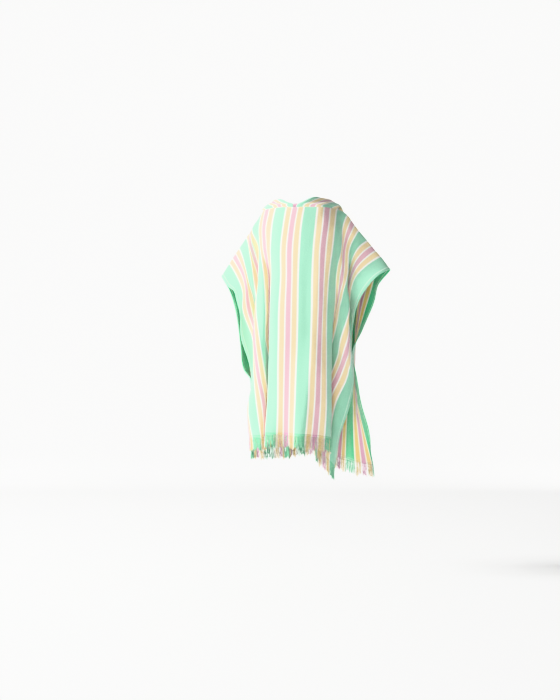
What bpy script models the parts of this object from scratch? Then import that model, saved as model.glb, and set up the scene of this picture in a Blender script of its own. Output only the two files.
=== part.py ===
"""Hooded beach towel of poncho cut, drawn hollow in the shape it takes when it is worn.

One length of striped terry cloth is folded over the shoulders, with a slit for the neck, a two-piece
hood sewn round the slit, the side edges caught together once below each sleeve and a fringe at both
ends.

Axes: +Z up, the front faces -Y, the left side as worn is +X.
Origin: the middle of the neck opening, at the height where the cloth is held up.
The tables are in millimetres and every mesh is written in metres.
"""

import bmesh
import bpy
import numpy as np
from mathutils.bvhtree import BVHTree

MM = 0.001

# ---- driving dimensions, millimetres ------------------------------------------------------------
HALF_WIDTH = 360.0      # centre line to side edge, measured across the cloth
SLIT_HALF = 126.0       # centre line to the end of the neck slit
WALL = 2.5              # thickness of the terry cloth
SEAM_GAP = 0.3          # space kept between pieces that are sewn together
FACE_GAP = 4.0          # each hood half starts this far from the centre line in front
TACK_HEIGHT = 9.0       # length of the stitched bar that joins the side edges
TACK_LEVEL_LEFT = -454.0    # height of the bar below the left sleeve
TACK_LEVEL_RIGHT = -548.0   # height of the bar below the right sleeve
HEADING = 6.0           # height of the woven strip that holds the fringe together
SOFTEN = 11.0           # folds are rounded over this distance to either side
STRANDS = 80            # fringe strands in each end of the cloth
STRAND_WIDTH = 4.6      # width of a strand at its root
STRAND_TIP = 2.6        # width of a strand at its tip
STRAND_LENGTH = 40.0    # free length of a strand

# distance across the cloth of each mesh column, from the centre line to the side edge
COLUMNS = [0, 24, 48, 66, 81, 96, 111, 126, 138, 150, 162, 172, 182, 192, 202, 212, 222, 234, 246, 258,
           268, 278, 288, 303, 318, 339, 360]
# share of the way down the cloth of each mesh row, from the fold to the hem
ROWS = [0, 0.02, 0.045, 0.075, 0.11, 0.15, 0.195, 0.245, 0.295, 0.345, 0.395, 0.445, 0.495, 0.545,
        0.595, 0.645, 0.695, 0.745, 0.795, 0.845, 0.895, 0.95, 1]

# ---- drape tables -------------------------------------------------------------------------------
# key: distance across the cloth from the centre line
# value: points down the cloth from the shoulder fold (or the slit) to the hem, each x, y, z
FRONT_LEFT = {
    0: [(8, -72, -3), (3.5, -95, -64), (0, -103, -113), (0, -110, -210), (-1, -116, -308),
        (-1, -122, -406), (-1, -128, -503), (-1, -134, -601), (0, -139, -679)],
    48: [(53, -60, -3), (52, -87, -64), (51, -95, -113), (47, -101, -210), (47, -105, -308),
         (46, -109, -406), (47, -127, -503), (47, -139, -601), (45, -152, -681)],
    96: [(98, -38, -4), (102, -70, -64), (98, -80, -113), (95, -87, -210), (93, -90, -308),
         (90, -92, -406), (93, -113, -503), (90, -117, -601), (84, -122, -685)],
    126: [(121, 0, -10), (125, -48, -64), (124, -60, -113), (112, -64, -210), (106, -66, -308),
          (105, -68, -406), (111, -91, -503), (112, -95, -601), (110, -100, -690)],
    162: [(150, 0, -25), (140, -20, -64), (140, -30, -113), (125, -34, -210), (119, -34, -308),
          (115, -38, -406), (115, -44, -454), (118, -58, -503), (119, -62, -601), (120, -66, -696)],
    192: [(168, 0, -50), (165, -14, -64), (147, -8, -113), (148, -46, -210), (118, -8, -308),
          (96, -29, -406), (90, -34, -454), (99, -41, -503), (95, -46, -601), (94, -50, -704)],
    222: [(188, 0, -76), (169, -14, -113), (160, -36, -210), (139, -41, -308), (116, -25, -406),
          (100, -22, -454), (82, -26, -503), (70, -34, -601), (66, -40, -718)],
    258: [(213, 0, -104), (200, -12, -113), (153, -2, -210), (170, -48, -308), (141, -50, -406),
          (129, -36, -454), (107, -18, -503), (62, -14, -601), (60, -14, -736)],
    288: [(233, 0, -128), (195, -25, -164), (168, -14, -210), (161, -24, -308), (170, -46, -406),
          (157, -48, -454), (133, -30, -503), (88, -12, -601), (84, -20, -752)],
    318: [(256, 0, -154), (190, -32, -210), (160, -6, -308), (161, -18, -406), (168, -22, -454),
          (160, -12, -503), (122, -22, -601), (104, -26, -770)],
    360: [(285, 0, -191), (254, -34, -210), (221, -40, -247), (186, -30, -308), (174, -14, -350),
          (162, 8, -400), (160, 15, -454), (168, 14, -503), (160, -4, -601), (128, -4, -700),
          (116, -10, -786)],
}
FRONT_RIGHT = {
    0: FRONT_LEFT[0],
    48: [(-41, -62, -3), (-43, -90, -64), (-47, -96, -113), (-46, -99, -210), (-49, -110, -308),
         (-49, -117, -406), (-49, -123, -503), (-48, -129, -601), (-47, -151, -679)],
    66: [(-57, -52, -4), (-62, -80, -64), (-64, -86, -113), (-64, -84, -210), (-64.5, -97, -308),
         (-65.5, -104, -406), (-66, -112, -503), (-67, -120, -601), (-65, -146, -679)],
    88: [(-83, -41, -5.5), (-88, -65, -64), (-84, -72, -113), (-73, -62, -210), (-68, -75, -308),
         (-66, -82, -406), (-63, -91, -503), (-63, -99, -601), (-62, -127, -681)],
    104: [(-100, -27, -8.5), (-101, -54, -64), (-97, -61, -113), (-81, -62, -210), (-76, -74, -308),
          (-74, -80, -406), (-70, -75, -440), (-62, -77, -503), (-60, -83, -601), (-60, -111, -682)],
    126: [(-117, 0, -16), (-117, -36, -64), (-112, -48, -113), (-90, -84, -210), (-79, -99, -308),
          (-78, -102, -406), (-76, -87, -440), (-67, -63, -503), (-60, -64, -601),
          (-60, -92, -684)],
    144: [(-127, 2, -30), (-132, -24, -64), (-119, -33, -113), (-103, -71, -210), (-95, -95, -308),
          (-80, -110, -406), (-74, -80, -503), (-67, -57, -601), (-65, -82, -685)],
    162: [(-137.5, 3, -45.6), (-146, -12, -64), (-123, -18, -113), (-113, -58, -210),
          (-111, -82, -308), (-90, -112, -406), (-77, -106, -503), (-73, -86, -601), (-71, -104, -686)],
    192: [(-154.5, 5, -70), (-150, -28, -113), (-138, -32, -150), (-118, -30, -210),
          (-122, -56, -308), (-111, -108, -406), (-98, -112, -503), (-78, -114, -601),
          (-75, -118, -687)],
    222: [(-172, 5, -95), (-158, -18, -113), (-138, -38, -210), (-128, -30, -308), (-119, -84, -406),
          (-116, -97, -503), (-101, -119, -601), (-83, -134, -688)],
    258: [(-192.5, 5, -125), (-181, -14, -137), (-155, -36, -210), (-138, -8, -308),
          (-123, -60, -406), (-122, -65, -503), (-132, -99, -601), (-113, -120, -690)],
    288: [(-210, 5, -150), (-167, -32, -210), (-152, -34, -308), (-125, -36, -406),
          (-130, -38, -503), (-140, -70, -601), (-131, -94, -693)],
    318: [(-227, 5, -175), (-197, -18, -210), (-172, -31, -265), (-173, -32, -308), (-143, -22, -406),
          (-139, -14, -503), (-146, -42, -601), (-138, -64, -696)],
    360: [(-251, 5, -211), (-222, -20, -241), (-200, -28, -256), (-190, -32, -284), (-180, -34, -320),
          (-176, -30, -400), (-158, -10, -474), (-155, 9, -536), (-155, 10, -556), (-152, 0, -620),
          (-140, -30, -702)],
}
BACK_LEFT = {
    0: [(0, 46, -2), (0, 78, -64), (0, 88, -113), (0, 95, -210), (0, 98, -308), (0, 99, -454),
        (2, 110, -601), (2, 120, -724)],
    48: [(46, 38, -3), (47, 70, -64), (47, 80, -113), (47, 90, -210), (46, 98, -308), (44, 108, -454),
         (40, 126, -601), (32, 138, -728)],
    96: [(92, 22, -6), (95, 50, -64), (95, 62, -113), (92, 82, -210), (88, 96, -308), (77, 128, -454),
         (66, 112, -601), (56, 104, -736)],
    126: [(121, 0, -10), (123, 30, -64), (122, 44, -113), (114, 64, -210), (108, 76, -308),
          (92, 104, -454), (76, 88, -601), (58, 78, -744)],
    162: [(150, 0, -25), (150, 18, -64), (148, 30, -113), (134, 44, -210), (124, 56, -308),
          (104, 76, -454), (92, 84, -601), (78, 94, -756)],
    192: [(168, 0, -50), (166, 10, -64), (164, 30, -113), (152, 46, -210), (140, 66, -308),
          (120, 92, -454), (108, 106, -601), (95, 117, -766)],
    222: [(188, 0, -76), (180, 22, -113), (168, 54, -210), (154, 72, -308), (137, 106, -454),
          (127, 104, -601), (120, 102, -768)],
    258: [(213, 0, -104), (200, 16, -130), (183, 52, -210), (167, 60, -308), (152, 84, -454),
          (148, 82, -601), (152, 86, -775)],
    288: [(233, 0, -128), (222, 18, -160), (198, 50, -220), (174, 64, -308), (158, 62, -454),
          (165, 61, -601), (172, 74, -690), (180, 92, -781)],
    318: [(256, 0, -154), (238, 24, -190), (214, 54, -250), (190, 64, -320), (162, 40, -454),
          (175, 43, -601), (190, 63, -690), (203, 104, -784)],
    360: [(285, 0, -191), (235, 40, -244), (222, 58, -283), (186, 46, -375), (160, 20, -454),
          (172, 22, -503), (190, 22, -601), (206, 50, -680), (190, 132, -776)],
}
BACK_RIGHT = {
    0: BACK_LEFT[0],
    48: [(-46, 38, -3), (-47, 70, -64), (-47, 80, -113), (-47, 90, -210), (-46, 98, -308),
         (-44, 108, -454), (-40, 124, -601), (-34, 136, -726)],
    96: [(-92, 20, -6), (-94, 50, -64), (-94, 62, -113), (-92, 82, -210), (-88, 96, -308),
         (-76, 126, -454), (-66, 112, -601), (-58, 102, -728)],
    126: [(-117, 0, -16), (-118, 28, -64), (-117, 44, -113), (-112, 64, -210), (-107, 76, -308),
          (-92, 104, -454), (-78, 88, -601), (-58, 78, -730)],
    162: [(-137.5, 3, -45.6), (-138, 22, -80), (-138, 34, -120), (-132, 46, -210), (-124, 56, -308),
          (-104, 78, -454), (-92, 84, -601), (-78, 92, -732)],
    192: [(-154.5, 5, -70), (-153, 24, -100), (-148, 36, -140), (-144, 48, -210), (-140, 64, -308),
          (-122, 92, -454), (-108, 104, -601), (-94, 116, -734)],
    222: [(-172, 5, -95), (-168, 24, -120), (-162, 44, -170), (-156, 58, -230), (-154, 68, -308),
          (-138, 106, -454), (-128, 108, -601), (-118, 112, -736)],
    258: [(-192.5, 5, -125), (-188, 26, -150), (-180, 44, -200), (-174, 54, -250), (-168, 58, -308),
          (-156, 84, -454), (-148, 92, -601), (-144, 98, -738)],
    288: [(-210, 5, -150), (-205, 28, -175), (-196, 46, -230), (-184, 58, -308), (-170, 66, -454),
          (-160, 68, -601), (-158, 76, -734)],
    318: [(-227, 5, -175), (-220, 32, -210), (-208, 50, -270), (-200, 54, -330), (-182, 50, -454),
          (-166, 42, -570), (-164, 52, -732)],
    360: [(-251, 5, -211), (-234, 38, -262), (-222, 46, -308), (-210, 44, -370), (-200, 34, -427),
          (-186, 24, -500), (-158, 16, -536), (-155, 15, -556), (-160, 20, -620), (-164, 26, -730)],
}

# hood halves: one line of points per share of the base, from the face opening to the centre back;
# each line starts above the seam at the neck and runs to the seam along the crown
HOOD_LEFT = {
    0.00: [(30, -60, 16), (54, -38, 29), (78, 2, 21), (92, 56, 10), (74, 114, -10), (0, 146, -24)],
    0.33: [(96, -31, 5), (102, -6, 11), (110, 32, 7), (109, 78, -13), (84, 126, -48), (0, 160, -84)],
    0.42: [(113, -12, 3), (117, 5, 8), (120, 28, 4), (119, 66, -17), (100, 112, -54), (42, 154, -92),
           (0, 161, -104)],
    0.50: [(122, 5, 0), (124, 15, 0), (126, 32, -9), (125, 60, -26), (112, 100, -62),
           (66, 148, -106), (0, 163, -122)],
    0.58: [(108, 14, 0), (110, 22, 0), (113, 33, -9), (116, 50, -30), (110, 84, -66), (90, 124, -108),
           (46, 152, -130), (0, 164, -140)],
    0.67: [(88, 23, 4), (89, 31, 4), (93, 43, -5), (99, 56, -21), (104, 76, -52), (96, 110, -104),
           (58, 142, -146), (0, 163, -160)],
    0.83: [(46, 38, 7), (46, 46, 11), (48, 57, 8), (51, 71, -4), (54, 84, -28), (54, 98, -84),
           (44, 118, -152), (0, 150, -186)],
    1.00: [(0, 46, 9), (0, 54, 14), (0, 65, 13), (0, 79, 2), (0, 91, -22), (0, 101, -80),
           (0, 108, -150), (0, 120, -198)],
}
HOOD_RIGHT = {
    0.00: [(-18, -60, 12), (-44, -42, 22), (-70, 2, 15), (-86, 56, 4), (-72, 114, -12),
           (0, 146, -24)],
    0.33: [(-89, -30, 3), (-96, -6, 8), (-105, 32, 4), (-105, 78, -17), (-82, 126, -52),
           (0, 160, -84)],
    0.42: [(-107, -13, -3), (-112, 4, 2), (-116, 28, -2), (-115, 66, -23), (-98, 112, -58),
           (-42, 154, -94), (0, 161, -104)],
    0.50: [(-118, 5, -7), (-120, 15, -7), (-122, 32, -15), (-122, 60, -32), (-110, 100, -66),
           (-66, 148, -108), (0, 163, -122)],
    0.58: [(-105, 14, -5), (-107, 22, -5), (-110, 33, -14), (-113, 50, -35), (-108, 84, -70),
           (-90, 124, -110), (-46, 152, -132), (0, 164, -140)],
    0.67: [(-86, 23, 2), (-87, 31, 2), (-91, 43, -8), (-96, 56, -25), (-101, 76, -55),
           (-94, 110, -106), (-58, 142, -147), (0, 163, -160)],
    0.83: [(-46, 38, 6), (-46, 46, 10), (-48, 57, 7), (-51, 71, -6), (-53, 84, -30), (-54, 98, -86),
           (-44, 118, -153), (0, 150, -186)],
    1.00: [(0, 46, 9), (0, 54, 14), (0, 65, 13), (0, 79, 2), (0, 91, -22), (0, 101, -80),
           (0, 108, -150), (0, 120, -198)],
}
HOOD_STAND = 5.0        # the hood carries straight on from the cloth for this far above the seam
# share of the way from the neck seam to the crown of each mesh row of the hood, after the first two
HOOD_ROWS = [0.032, 0.058, 0.09, 0.125, 0.175, 0.235, 0.30, 0.375, 0.45, 0.53, 0.61, 0.69, 0.77, 0.85,
             0.93, 1]

# name: colour (red, green, blue), roughness
LOOKS = {
    "body_cloth": ((0.36, 0.78, 0.55), 0.95),
    "hood_left": ((0.40, 0.80, 0.58), 0.95),
    "hood_right": ((0.33, 0.74, 0.52), 0.95),
    "side_tack_left": ((0.90, 0.89, 0.84), 0.8),
    "side_tack_right": ((0.86, 0.85, 0.80), 0.8),
    "front_fringe": ((0.92, 0.80, 0.55), 0.95),
    "back_fringe": ((0.80, 0.62, 0.78), 0.95),
}


# ---- curves -------------------------------------------------------------------------------------
def unit(vectors):
    """Vectors scaled to length one."""
    lengths = np.linalg.norm(vectors, axis=-1, keepdims=True)
    return vectors / np.maximum(lengths, 1e-9)


def curve(marks, values, at, first=None):
    """Smooth curve through the values given at the marks; first sets the slope at its start."""
    marks = np.asarray(marks, float)
    values = np.asarray(values, float)
    at = np.asarray(at, float)
    steps = np.diff(marks)
    rises = np.diff(values, axis=0) / steps[:, None]
    slope = np.empty_like(values)
    before = steps[:-1, None]
    after = steps[1:, None]
    slope[1:-1] = (rises[:-1] * after + rises[1:] * before) / (before + after)
    slope[0] = 1.5 * rises[0] - 0.5 * slope[1]
    slope[-1] = 1.5 * rises[-1] - 0.5 * slope[-2]
    if first is not None:
        slope[0] = first
    cell = np.clip(np.searchsorted(marks, at, side="right") - 1, 0, len(marks) - 2)
    t = ((at - marks[cell]) / steps[cell])[:, None]
    wide = steps[cell][:, None]
    return ((1 + 2 * t) * (1 - t) ** 2 * values[cell] + t * (1 - t) ** 2 * wide * slope[cell]
            + t * t * (3 - 2 * t) * values[cell + 1] + t * t * (t - 1) * wide * slope[cell + 1])


def run_length(points):
    """Distance along a line of points up to each of them."""
    hops = np.linalg.norm(np.diff(points, axis=0), axis=1)
    return np.concatenate([[0.0], np.cumsum(hops)])


def along(points, shares):
    """Points at the given shares of the length of a line of points."""
    reach = run_length(points)
    goal = np.asarray(shares, float) * reach[-1]
    return np.stack([np.interp(goal, reach, points[:, axis]) for axis in range(3)], axis=1)


def column(points, other, shares):
    """One line down the cloth; where the cloth runs over the fold it leaves it without a kink."""
    points = np.asarray(points, float)
    other = np.asarray(other, float)
    marks = run_length(points)
    first = None
    if np.allclose(points[0], other[0]):
        span = marks[1] + np.linalg.norm(other[1] - other[0])
        first = (points[1] - other[1]) / span
    fine = curve(marks, points, np.linspace(0.0, marks[-1], 240), first)
    return along(fine, shares)


def panel(left, right, other_left, other_right, across, shares):
    """Points of one face of the cloth, front or back, as columns by rows."""
    lines = {}
    for table, others, side in ((right, other_right, -1), (left, other_left, 1)):
        for key, points in table.items():
            twin = others.get(key)
            if twin is None:
                twin = [(0.0, 0.0, 0.0), (0.0, 0.0, 1.0)]
            lines[side * key] = column(points, twin, shares)
    keys = sorted(lines)
    stack = np.array([lines[key] for key in keys])
    room = np.clip((HALF_WIDTH - np.abs(across)) / SOFTEN, 0.0, 1.0)
    rows = []
    for row in range(len(shares)):
        blend = 0.0
        for shift, weight in ((-1.0, 1 / 9), (-0.5, 2 / 9), (0.0, 3 / 9), (0.5, 2 / 9), (1.0, 1 / 9)):
            blend = blend + weight * curve(keys, stack[:, row], across + shift * SOFTEN * room)
        rows.append(blend)
    return np.stack(rows, axis=1)


# ---- meshes -------------------------------------------------------------------------------------
def point_normals(points, quads):
    """Unit normal of each point, from the faces that meet there."""
    normals = np.zeros_like(points)
    for quad in quads:
        a, b, c, d = (points[i] for i in quad)
        face = np.cross(c - a, d - b)
        for i in quad:
            normals[i] += face
    return unit(normals)


def walled(points, normals, quads):
    """Closed wall of cloth round a surface: both faces and the cut edges."""
    count = len(points)
    shell = np.concatenate([points + normals * WALL / 2, points - normals * WALL / 2])
    faces = [tuple(quad) for quad in quads]
    faces += [tuple(i + count for i in reversed(quad)) for quad in quads]
    edges = {}
    for quad in quads:
        for k in range(4):
            edges[(quad[k], quad[(k + 1) % 4])] = True
    for a, b in edges:
        if (b, a) not in edges:
            faces.append((b, a, a + count, b + count))
    return shell, faces


def add_object(name, points, faces):
    """Make one closed mesh object, in metres, with its own material."""
    mesh = bpy.data.meshes.new(name)
    mesh.from_pydata([tuple(p) for p in np.asarray(points) * MM], [], faces)
    work = bmesh.new()
    work.from_mesh(mesh)
    bmesh.ops.triangulate(work, faces=work.faces[:], quad_method="SHORT_EDGE", ngon_method="BEAUTY")
    bmesh.ops.recalc_face_normals(work, faces=work.faces[:])
    if work.calc_volume(signed=True) < 0:
        bmesh.ops.reverse_faces(work, faces=work.faces[:])
    loose = [edge for edge in work.edges if len(edge.link_faces) != 2]
    if loose:
        raise ValueError(name + " is not closed")
    work.to_mesh(mesh)
    work.free()
    colour, rough = LOOKS[name]
    material = bpy.data.materials.new(name)
    material.use_nodes = True
    shader = material.node_tree.nodes["Principled BSDF"]
    shader.inputs["Base Color"].default_value = (colour[0], colour[1], colour[2], 1.0)
    shader.inputs["Roughness"].default_value = rough
    mesh.materials.append(material)
    thing = bpy.data.objects.new(name, mesh)
    bpy.context.scene.collection.objects.link(thing)
    return thing


# ---- the cloth ----------------------------------------------------------------------------------
def body_surface():
    """Middle surface of the folded cloth with its neck slit, and where its edges lie."""
    across = np.array([-u for u in COLUMNS[:0:-1]] + COLUMNS, float)
    front = panel(FRONT_LEFT, FRONT_RIGHT, BACK_LEFT, BACK_RIGHT, across, ROWS)
    back = panel(BACK_LEFT, BACK_RIGHT, FRONT_LEFT, FRONT_RIGHT, across, ROWS)
    shared = np.abs(across) >= SLIT_HALF
    fold = (front[shared, 0] + back[shared, 0]) / 2
    front[shared, 0] = fold
    back[shared, 0] = fold
    wide, deep = len(across), len(ROWS)
    points = np.concatenate([front.reshape(-1, 3), back.reshape(-1, 3)])
    spare = wide * deep

    def front_at(i, j):
        return i * deep + j

    def back_at(i, j):
        if j == 0 and shared[i]:
            return i * deep
        return spare + i * deep + j

    quads = []
    for i in range(wide - 1):
        for j in range(deep - 1):
            quads.append((front_at(i, j), front_at(i, j + 1), front_at(i + 1, j + 1), front_at(i + 1, j)))
            quads.append((back_at(i, j), back_at(i + 1, j), back_at(i + 1, j + 1), back_at(i, j + 1)))
    used = sorted({i for quad in quads for i in quad})
    place = {old: new for new, old in enumerate(used)}
    points = points[used]
    quads = [tuple(place[i] for i in quad) for quad in quads]
    normals = point_normals(points, quads)
    edges = {
        "across": across,
        "front": np.array([[place[front_at(i, j)] for j in range(deep)] for i in range(wide)]),
        "back": np.array([[place[back_at(i, j)] for j in range(deep)] for i in range(wide)]),
    }
    return points, normals, quads, edges


def neck_path(side, points, normals, edges):
    """Slit edge from the centre front round one side to the centre back."""
    across = edges["across"]
    picked = [i for i in range(len(across)) if 0 < side * across[i] <= SLIT_HALF]
    picked.sort(key=lambda i: abs(across[i]))
    centre = int(np.argmin(np.abs(across)))
    front, back = edges["front"], edges["back"]
    rims = [(front[centre, 0], front[centre, 1])]
    rims += [(front[i, 0], front[i, 1]) for i in picked[:-1]]
    end = picked[-1]
    rims.append((front[end, 0], -1))
    rims += [(back[i, 0], back[i, 1]) for i in picked[-2::-1]]
    rims.append((back[centre, 0], back[centre, 1]))
    spots, rises, faces = [], [], []
    for rim, inside in rims:
        spots.append(points[rim])
        faces.append(normals[rim])
        if inside < 0:
            below = (points[front[end, 1]] + points[back[end, 1]]) / 2
            rises.append(unit(points[rim] - below))
        else:
            rises.append(unit(points[rim] - points[inside]))
    return np.array(spots), np.array(rises), np.array(faces)


def hood_half(side, table, points, normals, edges):
    """One half of the hood, from the neck seam to the seam along the crown."""
    spots, rises, faces = neck_path(side, points, normals, edges)
    reach = run_length(spots)
    goal = np.concatenate([[FACE_GAP], reach[1:]])

    def trace(values, at):
        return np.stack([np.interp(at, reach, values[:, axis]) for axis in range(3)], axis=1)

    base, rise, face = trace(spots, goal), unit(trace(rises, goal)), unit(trace(faces, goal))
    keys = sorted(table)
    roots = trace(spots, np.maximum(np.array(keys) * reach[-1], FACE_GAP))
    lifts = unit(trace(rises, np.array(keys) * reach[-1]))
    lines = []
    for root, lift, key in zip(roots, lifts, keys):
        line = np.array([root, root + lift * HOOD_STAND] + list(table[key]), float)
        marks = run_length(line)
        lines.append(curve(marks, line, np.array(HOOD_ROWS) * marks[-1]))
    lines = np.array(lines)
    shares = goal / reach[-1]
    rest = [curve(keys, lines[:, row], shares) for row in range(len(HOOD_ROWS))]
    grid = np.stack([base + rise * SEAM_GAP, base + rise * HOOD_STAND] + rest, axis=1)
    wide, deep = grid.shape[:2]
    grid[:, 1:, 0] = side * np.maximum(side * grid[:, 1:, 0], WALL)
    grid[-1, :, 0] = side * SEAM_GAP / 2
    grid[:, -1, 0] = side * SEAM_GAP / 2
    quads = []
    for i in range(wide - 1):
        for j in range(deep - 1):
            quad = (i * deep + j, (i + 1) * deep + j, (i + 1) * deep + j + 1, i * deep + j + 1)
            quads.append(quad if side > 0 else tuple(reversed(quad)))
    flat = grid.reshape(-1, 3)
    out = point_normals(flat, quads).reshape(wide, deep, 3)
    if np.sum(out[:, 1] * face) < 0:
        face = -face
    out[:, 0] = face
    out[-1, :, 0] = 0.0
    out[:, -1, 0] = 0.0
    out[-1, -1] = (0.0, 0.0, -1.0)
    shell, shell_faces = walled(flat, unit(out).reshape(-1, 3), quads)
    shell[:, 0] = side * np.maximum(side * shell[:, 0], SEAM_GAP / 2)
    return shell, shell_faces


def side_tack(edge_front, edge_back, level, points, normals):
    """Short stitched bar that fills the space between the two side edges at one height."""
    lines = []
    for edge in (edge_front, edge_back):
        for turn in (1.0, -1.0):
            line = points[edge] + normals[edge] * turn * WALL * 0.4
            lines.append(line[np.argsort(line[:, 2])])
    rings = []
    for height in (level - TACK_HEIGHT / 2, level, level + TACK_HEIGHT / 2):
        ends = [np.array([np.interp(height, line[:, 2], line[:, axis]) for axis in range(3)])
                for line in lines]
        near_out, near_in, far_out, far_in = ends
        way = unit(far_out + far_in - near_out - near_in)
        rings.append([near_out + way * SEAM_GAP, far_out - way * SEAM_GAP,
                      far_in - way * SEAM_GAP, near_in + way * SEAM_GAP])
    corners = np.array(rings).reshape(-1, 3)
    faces = [(3, 2, 1, 0), (8, 9, 10, 11)]
    for ring in (0, 4):
        for k in range(4):
            n = (k + 1) % 4
            faces.append((ring + k, ring + n, ring + 4 + n, ring + 4 + k))
    return corners, faces


def fringe(rim, above, across, points, normals):
    """Fringe of one end of the cloth: a narrow woven strip with strands fused to it."""
    down = unit(points[rim] - points[above])
    pitch = 2 * HALF_WIDTH / STRANDS
    margin = (pitch - STRAND_WIDTH) / 2
    stations = []
    for k in range(STRANDS):
        start = -HALF_WIDTH + k * pitch
        stations += [start + margin, start + margin + STRAND_WIDTH]
    stations = np.array([-HALF_WIDTH] + stations + [HALF_WIDTH])

    def trace(values):
        return np.stack([np.interp(stations, across, values[:, axis]) for axis in range(3)], axis=1)

    outer = trace(points[rim] + normals[rim] * WALL / 2)
    inner = trace(points[rim] - normals[rim] * WALL / 2)
    fall = unit(trace(down))
    twist = np.linalg.norm(np.diff(normals[rim], axis=0), axis=1)
    middle = (across[:-1] + across[1:]) / 2
    gap = SEAM_GAP + 0.5 * np.interp(stations, middle, twist)[:, None]
    rings = np.stack([outer + fall * gap, inner + fall * gap,
                      inner + fall * HEADING, outer + fall * HEADING], axis=1)
    corners = [tuple(p) for p in rings.reshape(-1, 3)]
    last = len(stations) - 1
    faces = [(3, 2, 1, 0), (4 * last, 4 * last + 1, 4 * last + 2, 4 * last + 3)]
    for i in range(last):
        a, b = 4 * i, 4 * i + 4
        faces.append((a, a + 1, b + 1, b))
        faces.append((a + 1, a + 2, b + 2, b + 1))
        faces.append((a + 3, a, b, b + 3))
        if i % 2 == 0:
            faces.append((a + 2, a + 3, b + 3, b + 2))
    for k in range(STRANDS):
        i = 2 * k + 1
        root = [4 * i + 2, 4 * i + 3, 4 * i + 7, 4 * i + 6]
        square = np.array([corners[j] for j in root])
        middle = square.mean(axis=0)
        hang = unit(0.45 * fall[i] + np.array([0.0, 0.0, -0.55]))
        reach = STRAND_LENGTH * (1.0 + 0.07 * np.sin(2.3 * k) + 0.05 * np.sin(5.1 * k + 1.0))
        sway = (square[3] - square[0]) * 0.12 * np.sin(3.7 * k)
        tip = middle + hang * reach + sway
        thin = STRAND_TIP / STRAND_WIDTH
        first = len(corners)
        corners += [tuple(tip + (corner - middle) * thin) for corner in square]
        for j in range(4):
            n = (j + 1) % 4
            faces.append((root[j], root[n], first + n, first + j))
        faces.append((first, first + 1, first + 2, first + 3))
    return np.array(corners), faces


def overlapping(things):
    """Names of pairs of pieces whose surfaces cut through each other."""
    trees = []
    for thing in things:
        spots = [v.co.copy() for v in thing.data.vertices]
        sides = [tuple(p.vertices) for p in thing.data.polygons]
        trees.append((thing.name, BVHTree.FromPolygons(spots, sides)))
    found = []
    for i, (name, tree) in enumerate(trees):
        for other, twin in trees[i + 1:]:
            if tree.overlap(twin):
                found.append(name + " and " + other)
    return found


def build():
    """Make every piece of the towel."""
    for thing in list(bpy.data.objects):
        bpy.data.objects.remove(thing, do_unlink=True)
    points, normals, quads, edges = body_surface()
    front, back, across = edges["front"], edges["back"], edges["across"]
    things = [add_object("body_cloth", *walled(points, normals, quads))]
    things.append(add_object("hood_left", *hood_half(1, HOOD_LEFT, points, normals, edges)))
    things.append(add_object("hood_right", *hood_half(-1, HOOD_RIGHT, points, normals, edges)))
    things.append(add_object("side_tack_left",
                             *side_tack(front[-1], back[-1], TACK_LEVEL_LEFT, points, normals)))
    things.append(add_object("side_tack_right",
                             *side_tack(front[0], back[0], TACK_LEVEL_RIGHT, points, normals)))
    things.append(add_object("front_fringe",
                             *fringe(front[:, -1], front[:, -2], across, points, normals)))
    things.append(add_object("back_fringe",
                             *fringe(back[:, -1], back[:, -2], across, points, normals)))
    clashes = overlapping(things)
    if clashes:
        raise ValueError("pieces overlap: " + ", ".join(clashes))
    return things


build()
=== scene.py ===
"""Looks of the hooded beach towel: terry cloth, stripes, hems, stitches, fringe yarns, light and camera.

The cloth is laid on the same drape tables as the solids, in millimetres, on a finer grid, and gets its
creases, hems and pile here. Meshes are written in metres in the frame's own axes.
"""

import math

import bpy
import numpy as np
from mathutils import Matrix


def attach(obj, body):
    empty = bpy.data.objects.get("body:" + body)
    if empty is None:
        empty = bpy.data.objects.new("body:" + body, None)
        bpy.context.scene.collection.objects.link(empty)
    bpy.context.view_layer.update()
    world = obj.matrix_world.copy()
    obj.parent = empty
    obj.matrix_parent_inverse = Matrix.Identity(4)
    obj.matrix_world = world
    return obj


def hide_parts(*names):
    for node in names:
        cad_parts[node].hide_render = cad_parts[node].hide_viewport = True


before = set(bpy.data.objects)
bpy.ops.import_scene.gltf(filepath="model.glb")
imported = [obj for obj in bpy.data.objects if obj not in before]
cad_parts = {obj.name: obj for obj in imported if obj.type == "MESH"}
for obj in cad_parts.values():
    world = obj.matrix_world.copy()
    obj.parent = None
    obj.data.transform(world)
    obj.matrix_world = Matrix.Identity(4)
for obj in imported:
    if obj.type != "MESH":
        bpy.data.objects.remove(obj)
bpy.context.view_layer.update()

MM = 0.001

# ---- driving dimensions, millimetres ----
HALF_WIDTH = 360.0      # centre line to side edge, measured across the cloth
SLIT_HALF = 126.0       # centre line to the end of the neck slit
FRONT_LENGTH = 700.0    # fold to hem in front, measured down the cloth
BACK_LENGTH = 735.0     # fold to hem behind
SEAM_GAP = 0.3          # space between pieces that are sewn together
FACE_GAP = 4.0          # each hood half starts this far from the centre line in front
SOFTEN = 11.0           # folds are rounded over this distance to either side
TERRY = 2.3             # thickness of the terry cloth
HEM_FOLD = 3.3          # thickness where the side hem is folded over
HEM_WIDTH = 7.0         # width of the folded side hem
HEM_DIP = 3.0           # half width of the dip that the stitching pulls into a hem
FLAT_WEAVE = 9.0        # height of the pile-free band at each end
FLAT_THICK = 1.5        # thickness of that band
TACK_HEIGHT = 9.0       # length of the stitched bar that joins the side edges
TACK_LEVEL_LEFT = -454.0    # height of the middle of the left bar
TACK_LEVEL_RIGHT = -548.0   # and of the right one
HEADING = 6.0           # height of the woven strip that holds the fringe together
STRANDS = 80            # fringe strands in each end of the cloth
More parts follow.
